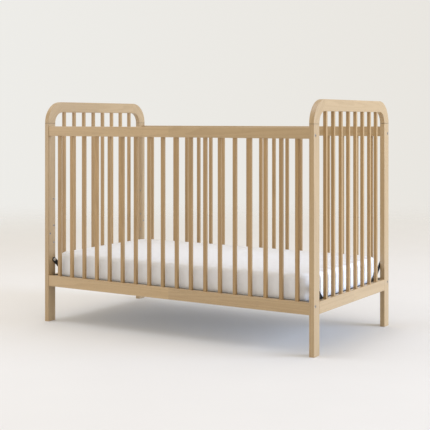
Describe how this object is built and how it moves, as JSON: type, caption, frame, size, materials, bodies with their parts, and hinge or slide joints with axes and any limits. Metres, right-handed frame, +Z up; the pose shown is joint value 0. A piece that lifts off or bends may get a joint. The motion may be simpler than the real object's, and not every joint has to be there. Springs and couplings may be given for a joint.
{
  "type": "baby crib",
  "caption": "Wooden baby crib with two arched end frames, slatted sides bolted between them, and a mattress on a steel support that can be set higher or lower.",
  "frame": {"origin": "on the floor, under the middle of the crib", "axes": "+X along the length, +Y to the back, +Z up; the front is the -Y side"},
  "size_m": [1.374, 0.748, 1.005],
  "materials": {
    "lacquered_wood": "satin",
    "dowel_wood": "matte",
    "zinc_steel": "satin",
    "black_steel": "satin",
    "spring_wire": "satin",
    "fitted_sheet": "matte"
  },
  "bodies": {
    "crib_frame": {"back_low_rail": "lacquered_wood", "back_slats": "lacquered_wood", "back_top_rail": "lacquered_wood", "barrel_nuts": "zinc_steel", "corner_dowels": "dowel_wood", "front_low_rail": "lacquered_wood", "front_slats": "lacquered_wood", "front_top_rail": "lacquered_wood", "left_back_corner": "lacquered_wood", "left_back_post": "lacquered_wood", "left_front_corner": "lacquered_wood", "left_front_post": "lacquered_wood", "left_low_rail": "lacquered_wood", "left_slat_1": "lacquered_wood", "left_slat_2": "lacquered_wood", "left_slat_3": "lacquered_wood", "left_slat_4": "lacquered_wood", "left_slat_5": "lacquered_wood", "left_slat_6": "lacquered_wood", "left_slat_7": "lacquered_wood", "left_slat_8": "lacquered_wood", "left_top_rail": "lacquered_wood", "low_rail_dowels": "dowel_wood", "rail_bolts": "zinc_steel", "rail_dowels": "dowel_wood", "right_back_corner": "lacquered_wood", "right_back_post": "lacquered_wood", "right_front_corner": "lacquered_wood", "right_front_post": "lacquered_wood", "right_low_rail": "lacquered_wood", "right_slat_1": "lacquered_wood", "right_slat_2": "lacquered_wood", "right_slat_3": "lacquered_wood", "right_slat_4": "lacquered_wood", "right_slat_5": "lacquered_wood", "right_slat_6": "lacquered_wood", "right_slat_7": "lacquered_wood", "right_slat_8": "lacquered_wood", "right_top_rail": "lacquered_wood", "threaded_inserts": "zinc_steel"},
    "mattress_support": {"cross_wires": "spring_wire", "end_springs": "spring_wire", "left_back_strap": "black_steel", "left_front_strap": "black_steel", "long_wires": "spring_wire", "right_back_strap": "black_steel", "right_front_strap": "black_steel", "side_springs": "spring_wire", "strap_bolts": "zinc_steel", "strap_rivets": "black_steel", "support_back_angle": "black_steel", "support_front_angle": "black_steel", "support_left_angle": "black_steel", "support_right_angle": "black_steel"},
    "mattress": {"mattress": "fitted_sheet"}
  },
  "joints": [
    {"name": "support_height", "type": "slide", "parent": "crib_frame", "child": "mattress_support", "axis": [0, 0, 1], "range_m": [0, 0.278]},
    {"name": "mattress_lift", "type": "slide", "parent": "mattress_support", "child": "mattress", "axis": [0, 0, 1], "range_m": [0, 0.82]}
  ]
}
